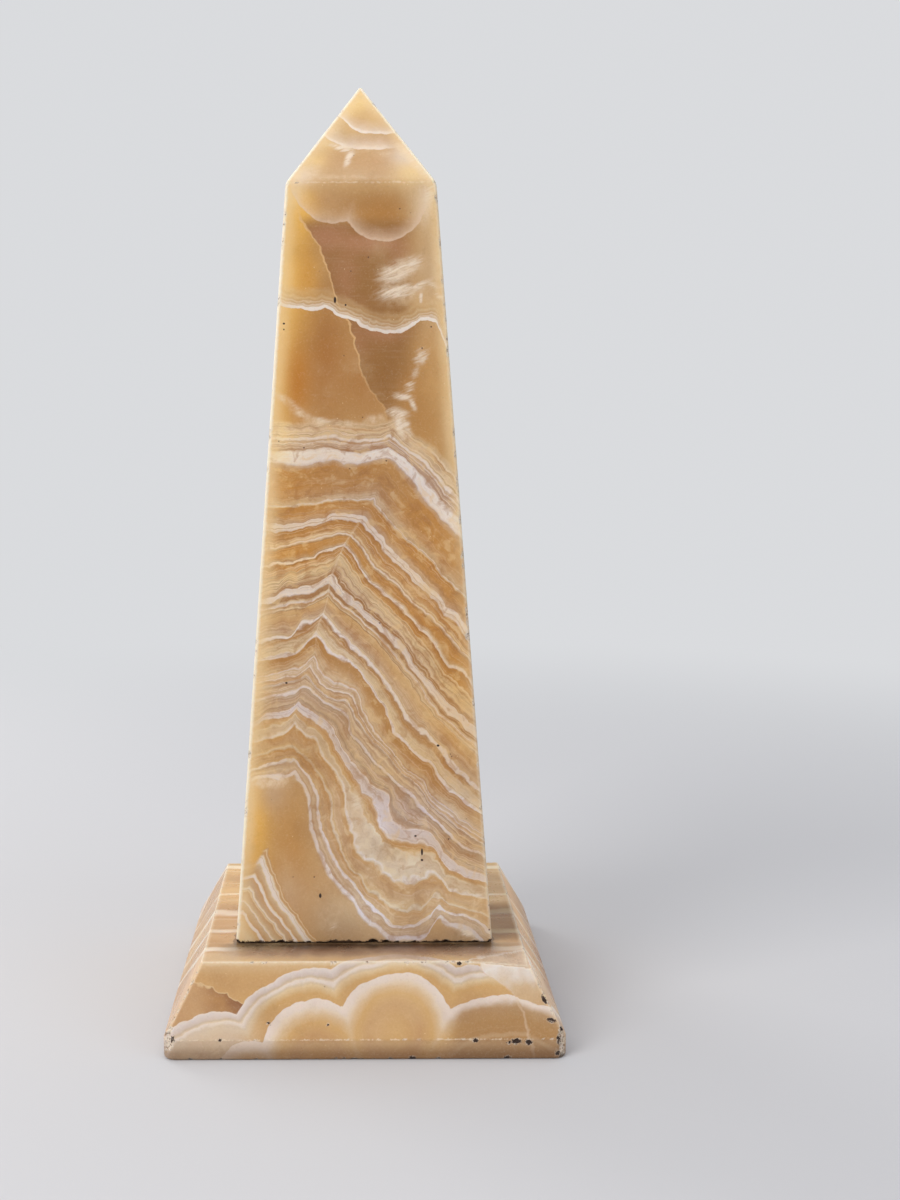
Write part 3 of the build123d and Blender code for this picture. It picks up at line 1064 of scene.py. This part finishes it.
# The band sequence down its growth: place, colour.
BANDS = [
    (-14, BUFF), (-11, CREAM), (-9.4, BEIGE), (-8.2, CREAM), (-6.6, TAN), (-5, CREAM), (-3.6, PINK),
    (-2.2, CREAM), (-1.2, BEIGE), (-0.7, WHITE), (0.8, WHITE), (1.5, PINK), (2.6, PINK), (3.2, LILAC),
    (4, (188, 156, 132)), (8, (184, 150, 124)), (8.7, LILAC), (10, (238, 226, 214)),
    (15.5, (236, 222, 210)), (16.6, LILAC), (17.3, PINK), (20, AMBER), (30, AMBER), (35, TAN),
    (38.2, BEIGE), (39.3, BEIGE), (39.8, WHITE), (40.6, CREAM), (41.2, AMBER), (46, AMBER), (50.8, PINK),
    (51.2, WHITE), (53.2, WHITE), (53.6, PINK), (54, WHITE), (55.1, LILAC), (55.6, UMBER), (59, AMBER),
    (62, TAN), (62.8, CREAM), (63.6, TAN), (64.6, WHITE), (65.4, BEIGE), (66, BROWN), (67, AMBER),
    (72, AMBER), (74.7, BEIGE), (75.3, WHITE), (76.4, WHITE), (77, UMBER), (80.6, AMBER), (81.4, CREAM),
    (82.4, TAN), (83.4, CREAM), (84.2, BEIGE), (85.2, CREAM), (86.4, BEIGE), (87.4, PINK), (88, CREAM),
    (88.8, PINK), (89.6, BROWN), (91.4, BROWN), (92, WHITE), (93.2, LILAC), (95.4, WHITE), (96.2, LILAC),
    (96.8, BROWN), (99, BROWN), (99.8, BEIGE), (101.2, WHITE), (102, TAN), (103.6, BEIGE),
    (104.4, CREAM), (105, BROWN), (105.8, BUFF), (112, TAN), (117, PINK), (119.8, BEIGE), (120.6, WHITE),
    (122, WHITE), (122.6, BROWN), (124.2, UMBER), (126.2, BEIGE), (132, CREAM), (133, WHITE),
    (134.2, WHITE), (134.9, UMBER), (138, UMBER), (142, TAN), (144.6, BEIGE), (145.4, TAN),
    (146.4, WHITE), (147.4, BEIGE), (148.2, PINK), (150, BEIGE), (150.8, WHITE), (151.6, PINK),
    (153.4, TAN), (154.4, BEIGE), (155, WHITE), (156, TAUPE), (158, PINK), (159.2, CREAM), (160.2, PINK),
    (162.8, BEIGE), (163.8, WHITE), (165, LILAC), (165.8, TAUPE), (170, PINK), (173, BEIGE),
    (173.8, TAUPE), (176.6, PINK), (177.4, WHITE), (178.2, LILAC), (181.4, LILAC), (182, WHITE),
    (182.6, TAN), (184, AMBER), (185.6, BUFF), (186.2, CREAM), (187, BEIGE), (188.6, BEIGE),
    (189.5, CREAM), (189.8, WHITE), (190.5, CREAM), (191.2, AMBER), (196, TAN), (198.8, BUFF),
    (199.7, CREAM), (200.6, BEIGE), (201.2, AMBER), (205, TAN), (206.8, BUFF), (207.2, WHITE),
    (208.8, WHITE), (209.4, PINK), (212, BEIGE), (214.4, PINK), (215, WHITE), (217.2, WHITE),
    (218, BEIGE), (219, TAN), (224, TAN), (232, UMBER), (300, UMBER),
]
# How strongly fine lines show along that sequence: much beside the white bands, little in the clear amber.
FINE_LINES = [
    (-14, 0.5), (-2, 1), (7, 0.8), (9, 0.3), (16, 0.3), (20, 0.12), (36, 0.2), (40, 0.5), (44, 0.3),
    (50, 0.4), (56, 0.3), (61, 0.8), (66, 0.4), (72, 0.3), (75, 0.7), (91, 0.7), (96, 0.4), (104, 0.8),
    (108, 0.25), (118, 0.4), (134, 0.5), (137, 0.2), (144, 0.5), (152, 0.7), (177, 0.55), (184, 0.3),
    (192, 0.2), (204, 0.25), (207, 0.4), (222, 0.25), (300, 0.15),
]
# The bands of the chevron bundle, and those of the white band high on the shaft.
BUNDLE_BANDS = [
    (-40, CREAM), (-34, BUFF), (-33, WHITE), (-31.6, WHITE), (-31, TAN), (-26.4, BEIGE), (-25.8, WHITE),
    (-24.8, CREAM), (-24, BEIGE), (-20.6, TAN), (-19.8, CREAM), (-19.2, BEIGE), (-18.4, WHITE),
    (-17.6, CREAM), (-17, PINK), (-13.6, TAN), (-12.9, WHITE), (-11.9, WHITE), (-11.2, CREAM),
    (-10.6, TAN), (-7.4, BEIGE), (-6.6, CREAM), (-6, WHITE), (-4, WHITE), (-3.7, BEIGE), (-3.3, WHITE),
    (-2.4, CREAM), (-1.8, TAN), (-0.8, TAN), (-0.3, CREAM), (0.4, TAN), (1.4, AMBER),
]
WHITE_BAND_LAYERS = [
    (-3, (190, 146, 96)), (-0.5, (184, 140, 92)), (0, (238, 224, 210)), (1.8, (240, 228, 216)),
    (2.6, (212, 182, 150)), (3.4, (226, 204, 178)), (4.2, (196, 158, 118)), (5.2, (224, 200, 168)),
    (6.2, (198, 160, 116)), (7.6, (220, 192, 152)), (8.8, (202, 164, 116)), (11, (218, 186, 142)),
    (14, (206, 166, 116)),
]


def laminate(g, colour, field, amount):
    """Fine growth lines, in two sizes, that come and go along the layers, and translucent blotches."""
    across, height = g["across"], g["height"]
    for frequency, strength in ((0.42, 0.5), (1.25, 0.8)):
        line = g.noise(1, 3, 0.6, at=g.vector(field * frequency, across * 0.012, height * 0.012))
        colour = colour.mix((236, 214, 188), line.span(0.56, 0.64, 0, strength) * amount)
        colour = colour.mix((156, 112, 72), line.span(0.44, 0.36, 0, strength) * amount)
    blotch = g.noise(1, 3, 0.6, 0.6, at=g.vector(field * 0.10, across * 0.11, height * 0.11))
    colour = colour.mix((230, 198, 152), blotch.span(0.52, 0.68, 0, 0.5))
    return colour.mix((168, 118, 74), blotch.span(0.48, 0.34, 0, 0.45))


def plain_zone(g, ground):
    """The plain upper stone: golden left of the grain edge, grey-brown right of it, a pale line between."""
    across, height = g["across"], g["height"]
    grain = wavy(g, g["grain"], 3, 1)
    brown = grain.span(-0.4, 0.4) * g["brown_right"].span(4, -14)
    brown = brown * height.span(446, 436) * height.span(312, 330)
    rosiness = g.math("ADD", g["rosy"], g.noise(40, 3).span(0.5, 0.8, 0, 0.4), use_clamp=True)
    strata = g.noise(1, 3, 0.6, at=g.vector(across * 0.03, 0, height * 0.7))
    rosy = g.mix(DRAB, (180, 130, 99), rosiness).mix((176, 138, 106), strata.span(0.5, 0.75, 0, 0.45))
    line = abs(grain).span(0.9, 0.3) * height.span(318, 388, 0.25, 1) * height.span(450, 440)
    return ground.mix(rosy, brown * 0.9).mix((232, 190, 140), line * 0.75)


def white_band(g, colour):
    """The white band high on the shaft, with fine layers above it."""
    band = wavy(g, g["white_band"], 2, 1)
    amount = g.ramp(band, [(-3, 0), (-0.5, 0), (-0.1, 1), (3.2, 1), (6, 0.75), (11, 0.35), (14, 0)])
    return colour.mix(g.ramp(band, WHITE_BAND_LAYERS), amount)


def head_lines(g, colour):
    """The lobes that hang under the head, and the two bowl-shaped lines in it."""
    across, height = g["across"], g["height"]
    lobes = wavy(g, g["lobes"], 1.6, 0.6)
    rim = g.ramp(lobes, [(-1.5, 0), (-0.4, 0), (0.2, 0.7), (0.9, 0.62), (2.2, 0.42), (5, 0.2), (9, 0)])
    colour = colour.mix((232, 204, 178), rim * height.span(465, 458))
    for name, strength, half_wide in (("head_line", 0.95, 26), ("head_line_low", 0.8, 17)):
        line = wavy(g, g[name], 1.6, 0.6)
        amount = g.ramp(line, [(-1.6, 0), (-0.5, 0), (0, 1), (1, 0.95), (2.4, 0.5), (6, 0.2), (10, 0)])
        amount = amount * across.span(half_wide + 8, half_wide - 6) * height.span(478, 484)
        colour = colour.mix((244, 228, 212), amount * strength)
    return colour


def chevron_bands(g, upper, ground):
    """The upper stone with the folded band sequence below it, and the bundle in the lower left corner."""
    height = g["height"]
    left, right = g["growth_left"], g["growth_right"]
    place = wavy(g, g.math("MINIMUM", left, right), 2.4, 0.72)
    bands = laminate(g, g.ramp(place, BANDS), place, g.ramp(place, FINE_LINES))
    bands = bands.mix(g.tint("tint"), 0.7, "MULTIPLY").mix(ground, g["calm"])
    crease = abs(left - right).span(1.2, 0.2, 0, 0.34) * height.span(175, 200) * height.span(268, 250)
    bands = bands.mix((236, 212, 182), crease).mix(ground, place.span(217.4, 220, 0, 0.9))
    bundle = wavy(g, g["bundle"], 1.8, 0.7)
    inside = bundle.span(1.2, 0.8) * place.span(219, 222) * (1 - g["bundle_faint"])
    return upper.mix(bands, place.span(-13, -8)).mix(g.ramp(bundle, BUNDLE_BANDS), inside)


def white_growths(g, colour):
    """Pale hazes, and feathery wisps that lean to the left as they rise."""
    across, height = g["across"], g["height"]
    haze = g["haze"] * g.noise(260, 4, 0.65).span(0.25, 0.7, 0.5, 1.2)
    leaning = g.vector((across + height * 0.4) * 0.07, (height - across * 0.4) * 0.42)
    veil = g["veil"] * g.noise(1, 5, 0.6, 0.9, at=leaning).span(0.28, 0.68, 0.35, 1.15)
    colour = colour.mix((234, 208, 176), haze.span(0.05, 1, 0, 0.9))
    return colour.mix((240, 222, 200), veil.span(0.12, 0.95, 0, 0.92))


def shaft_openings(g):
    """The open pits in the front, dark inside, and a ragged dark line of painted shade where the foot meets
    the base.
    """
    across, height = g["across"], g["height"]
    pits = 9
    for pit_u, pit_v, half_wide, half_high in PITS:
        away = ((across - pit_u) / half_wide) ** 2 + ((height - pit_v) / half_high) ** 2
        pits = g.math("MINIMUM", away, pits)
    # Painted shade along the shaft's foot, where it meets the base.
    ragged = g["rise"] + g.noise(300, 4, 0.7) * 7 + g.noise(38) * 5
    return g.math("MAXIMUM", pits.span(1.3, 0.6) * g["depth"].span(2, 1), ragged.span(7.4, 6.8, 0, 0.92))


def shaft_material():
    material = bpy.data.materials.new("shaft_onyx_polished")
    g = Graph(material)
    ground = g.tint("ground")
    upper = head_lines(g, white_band(g, plain_zone(g, ground)))
    colour = white_growths(g, chevron_bands(g, upper, ground))
    shoulder = abs(g["rise"] - SHOULDER_V) + g.noise(420, 3) * 4
    colour = colour.mix((240, 218, 190), shoulder.span(2.8, 1.4, 0, 0.6)).mix((248, 216, 164), g["lit"])
    # The painted light on the arrises is strongest on the left side and on the head, where the key lamp
    # falls.
    finish_stone(g, colour, 11, g["leftness"].span(0, 1, 0.30, 0.85), shaft_openings(g))
    return material


# The base's looks

# The white streaks across its top: Y and width.
STREAKS = [(-76, 5.4), (-44, 5.2), (-10, 7.2), (28, 2.8), (88, 5.5)]
# The lobes' colours, by the distance inside their rims.
OUTER_RIM = [
    (-1, LILAC), (0, WHITE), (1, (222, 208, 200)), (3.2, (212, 194, 182)), (4.4, (206, 184, 160)),
    (5.2, (222, 200, 174)), (5.8, WHITE), (7, (228, 212, 198)), (8.2, (216, 194, 166)), (9.5, CREAM),
    (13, BUFF), (24, TAN),
]
INNER_RIM = [
    (-1, LILAC), (0, WHITE), (1.4, (232, 215, 202)), (4, (228, 210, 194)), (5.5, (227, 206, 182)),
    (7, (222, 196, 166)), (8.5, (217, 187, 150)), (10.5, (214, 179, 136)), (12.5, BUFF), (20, TAN),
    (34, BUFF),
]
# Painted shade on the top beside the joint, the shaft's contact shadow, by the distance from it.
DUSK = [
    (0, (44, 28, 20)), (3, (46, 30, 22)), (6, (70, 49, 39)), (9, (108, 83, 68)), (12, (132, 106, 89)),
    (15, (152, 124, 105)), (18, (164, 137, 116)), (23, (184, 156, 132)), (30, (204, 178, 150)),
]
# Painted light and shade on the top and the sides: colour, field, how it is laid on.
ZONES = [
    ((104, 98, 64), "top_lift", "ADD"), ((200, 187, 156), "top_shade", "MULTIPLY"),
    ((104, 98, 92), "side_near", "ADD"), ((140, 104, 52), "side_right", "ADD"),
    ((231, 215, 210), "side_low", "MULTIPLY"),
]


def streaked_stone(g):
    """The stone behind the front, with white streaks across the top and down the sides."""
    stops = [
        (-240, (206, 166, 118)), (-190, (200, 158, 112)), (-150, (212, 178, 136)), (-120, (206, 166, 120)),
    ]
    for at, wide in STREAKS:
        stops += [(at - wide - 4, (206, 166, 120)), (at - wide, (196, 152, 106)),
                  (at - wide * 0.5, (240, 226, 208)), (at + wide * 0.4, (232, 214, 190)),
                  (at + wide * 0.7, (196, 156, 112))]
    layer = g["layer"]
    fine = g.noise(1, 3, 0.6, at=g.vector(layer * 0.11))
    soft = g.noise(22, 3)
    ground = g.ramp(layer, stops + [(140, (206, 168, 122))])
    ground = ground.mix((234, 212, 184), fine.span(0.54, 0.72, 0, 0.6))
    ground = ground.mix((172, 132, 94), fine.span(0.46, 0.30, 0, 0.35))
    ground = ground.mix((226, 192, 146), soft.span(0.5, 0.68, 0, 0.5))
    return ground.mix((178, 138, 108), soft.span(0.48, 0.32, 0, 0.5))


def front_stone(g, broken):
    """The front round the lobes: gold, clouded white past the crack, and rose low at the left end."""
    rise = g["rise"]
    gold = g.mix(BUFF, TAN, g.noise(22, 3)).mix(CREAM, rise.span(44, 52, 0, 0.5))
    drift = rise + g.noise(48, 3).span(0.35, 0.65, 4, -4)
    clouds = g.ramp(drift, [
        (30, (206, 172, 134)), (38, (214, 186, 152)), (44, (226, 208, 190)), (49, (236, 226, 216)),
        (56, (232, 214, 196)),
    ])
    rose = g.mix((150, 106, 76), (190, 146, 100), g.noise(42, 3).span(0.4, 0.75))
    rose = rose.mix((204, 164, 122), g["rose_fade"] * 0.85)
    jag = wavy(g, g["jag"], 6, 2.2)
    face = rose.mix(gold.mix(clouds, broken), jag.span(-0.5, 0.5))
    return face.mix((238, 210, 168), abs(jag).span(1.1, 0.2, 0, 0.5))


def lobed(g, colour, broken):
    """The round lobes with their white rims, the outer ones behind the inner ones."""
    outer = wavy(g, g["outer_lobes"], 1.2, 0.5)
    shade = g.ramp(outer, OUTER_RIM).mix((212, 192, 172), g["leftness"] * outer.span(5, 9, 0, 0.75))
    colour = colour.mix(shade, outer.span(-0.35, 0.15) * (1 - broken))

    inner = wavy(g, g["inner_lobes"], 1, 0.5)
    rightness = g["rightness"]
    shade = g.ramp(inner, INNER_RIM).mix((172, 132, 90), rightness * inner.span(1, 6.5, 0, 0.85))
    faint_arc = abs(inner - 20.5).span(2.2, 0.4) * 0.4
    colour = colour.mix(shade.mix((206, 176, 142), faint_arc * rightness), inner.span(-0.35, 0.15))
    rings = g.noise(1, 3, 0.6, at=g.vector(g.math("MAXIMUM", inner, -3) * 0.35))
    return colour.mix((224, 196, 158), rings.span(0.55, 0.7, 0, 0.14) * inner.span(0, 2))


def marked(g, colour, crack, front):
    """The pale line of the crack, and the flake: tan, with a white rim."""
    line = abs(crack).span(1.3, 0.2) * front.span(0.7, 0.84)
    flake = g["flake"]
    tan = g.mix((212, 182, 152), (188, 154, 120), g.noise(120, 4, 0.6).span(0.40, 0.62))
    colour = colour.mix((230, 206, 182), line * 0.35).mix(tan, flake * 0.85)
    return colour.mix((242, 230, 216), flake.span(0.02, 0.2) * flake.span(0.95, 0.5, 0, 0.75))


def soiled(g, colour):
    """Painted shade round the shaft's foot: a dark line at the joint, and a shadow band in front of it that
    fades outwards.
    """
    gap = g["gap"] + g.noise(110, 4, 0.6).span(0.3, 0.7, -1.6, 1.6)
    colour = colour.mix(g.ramp(gap, DUSK), g["in_front"] * gap.span(31, 17, 0, 0.96))
    return colour.mix((74, 52, 40), g["at_joint"] * gap.span(1.6, 0.2, 0, 0.55))


def worn_lip(g, colour, front):
    """The paler lip, darker towards the floor with painted shade and dirt, most on the front, and a rubbed
    arris above it.
    """
    rise = g["rise"]
    colour = colour.mix((196, 170, 142), rise.span(13.5, 10) * 0.32)
    # Painted shade and dirt, darker towards the floor.
    shade = rise.span(11, 2.5, 0, 0.62) * front.span(0, 1, 0.45, 1)
    rubbed = (g["lip_edge"] + g.noise(520, 4, 0.6) * 3.4).span(2.3, 1.7, 0, 0.55)
    colour = colour.mix((138, 108, 80), shade, "MULTIPLY")
    return colour.mix((246, 228, 204), rubbed * g.noise(90, 4, 0.7).span(0.44, 0.54))


def base_material():
    material = bpy.data.materials.new("base_onyx_polished")
    g = Graph(material)
    front = g["front_face"] + g.noise(34, 3).span(0.3, 0.7, -0.14, 0.14)
    crack = wavy(g, g["crack"], 4, 1)
    broken = crack.span(-0.5, 0.5)
    colour = streaked_stone(g).mix(front_stone(g, broken), front.span(0.66, 0.82))
    colour = marked(g, lobed(g, colour, broken), crack, front)
    # Painted light and shade, zone by zone.
    for shade, field, blend in ZONES:
        colour = colour.mix(shade, g[field], blend)
    colour = worn_lip(g, soiled(g, colour), front)
    holes = g["holes"] + g.noise(640, 4, 0.75).span(0.3, 0.7, -0.55, 0.6)
    colour = colour.mix((236, 216, 194), holes.span(1.6, 1.2, 0, 0.22))
    finish_stone(g, colour, 2.6, 0.22, holes.span(1.15, 0.9))
    return material


# The two pieces

def add_piece(mesh, material, node):
    mesh.materials.append(material)
    piece = placed(mesh.name, mesh)
    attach(piece, "root")
    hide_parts(node)


add_piece(make_base(), base_material(), "base")
add_piece(make_shaft(), shaft_material(), "shaft")


# Floor, backdrop and light

BACKGROUND = (0.70, 0.71, 0.73, 1)  # linear light
PAPER = (214, 214, 217)
FLOOR_HALF = 30  # metres
FADE_FROM, FADE_TO = 0.45, 1.5  # metres from the object
TARGET = Vector((0, 0, 0.25))
# Soft lamps: name, place, width and height in metres, power in watts, colour.
LAMPS = [
    ("key_left", (-1.5, -1.3, 1.5), (1.2, 1.6), 27, (1, 0.98, 0.95)),
    ("fill_right", (1.7, -1.2, 1), (1.2, 1.4), 5.5, (0.96, 0.98, 1)),
    ("top", (0, 0.2, 2.1), (1.8, 1.8), 11, (1, 1, 1)),
    ("rim_left", (-1.1, 1.2, 0.9), (0.7, 1.4), 8, (1, 0.97, 0.92)),
]


def seen_directly(g):
    """1 for the camera, for reflections and for what shows through clear things."""
    camera, glossy, through = [
        g.node("LightPath", output=f"Is {kind} Ray") for kind in ("Camera", "Glossy", "Transmission")]
    return g.math("ADD", camera + glossy, through, use_clamp=True)


def show_background(g, lit, plain_kind, end, amount):
    """Leads the plain background to the end node in place of the lit one, as far as `amount` says."""
    plain = g.node(plain_kind, {"Color": BACKGROUND})
    shown = g.node("MixShader", {0: amount, 1: Value(g, g.nodes[lit].outputs[0]), 2: plain})
    g.wire(g.nodes[end], {"Surface": shown})


def make_floor():
    """A wide level floor that keeps the object's shadow and fades, so that no horizon shows."""
    mesh = bpy.data.meshes.new("floor")
    signs = ((-1, -1), (1, -1), (1, 1), (-1, 1))
    mesh.from_pydata([(sx * FLOOR_HALF, sy * FLOOR_HALF, 0) for sx, sy in signs], [], [(0, 1, 2, 3)])
    material = bpy.data.materials.new("floor_paper")
    mesh.materials.append(material)
    g = Graph(material)
    mottle = g.node("TexNoise", {"Scale": 3}, "Fac")
    paper = g.mix((*linear(PAPER) * 0.985, 1), PAPER, mottle)
    g.wire(g.nodes["Principled BSDF"], {"Base Color": paper, "Roughness": 0.8, "Specular IOR Level": 0.2})
    distance = g.node("VectorMath", {0: g.coords}, "Value", operation="LENGTH")
    amount = distance.span(FADE_FROM, FADE_TO) * seen_directly(g)
    show_background(g, "Principled BSDF", "Emission", "Material Output", amount)
    floor = placed("floor", mesh)
    floor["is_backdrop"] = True


def make_lamp(name, at, size, power, colour):
    """A soft lamp turned to the object."""
    data = bpy.data.lights.new(name, "AREA")
    data.shape = "RECTANGLE"
    data.size, data.size_y = size
    data.energy = power
    data.color = colour
    lamp = placed(name, data)
    lamp.location = at
    lamp.rotation_euler = (TARGET - lamp.location).to_track_quat("-Z", "Y").to_euler()


def make_world():
    """Dim even light from all round, with the plain background in view."""
    world = bpy.data.worlds.new("studio")
    bpy.context.scene.world = world
    g = Graph(world)
    g.wire(g.nodes["Background"], {"Color": (0.86, 0.88, 0.92, 1), "Strength": 0.5})
    show_background(g, "Background", "Background", "World Output", seen_directly(g))


make_floor()
for lamp in LAMPS:
    make_lamp(*lamp)
make_world()
bpy.context.scene.view_settings.view_transform = "Standard"


# Sizes: the CAD parts' box and the shown object's box

def plain(corners):
    return [[float(c) for c in corner] for corner in corners]


{"cad": plain(CAD_BOX), "visual": plain(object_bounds())}
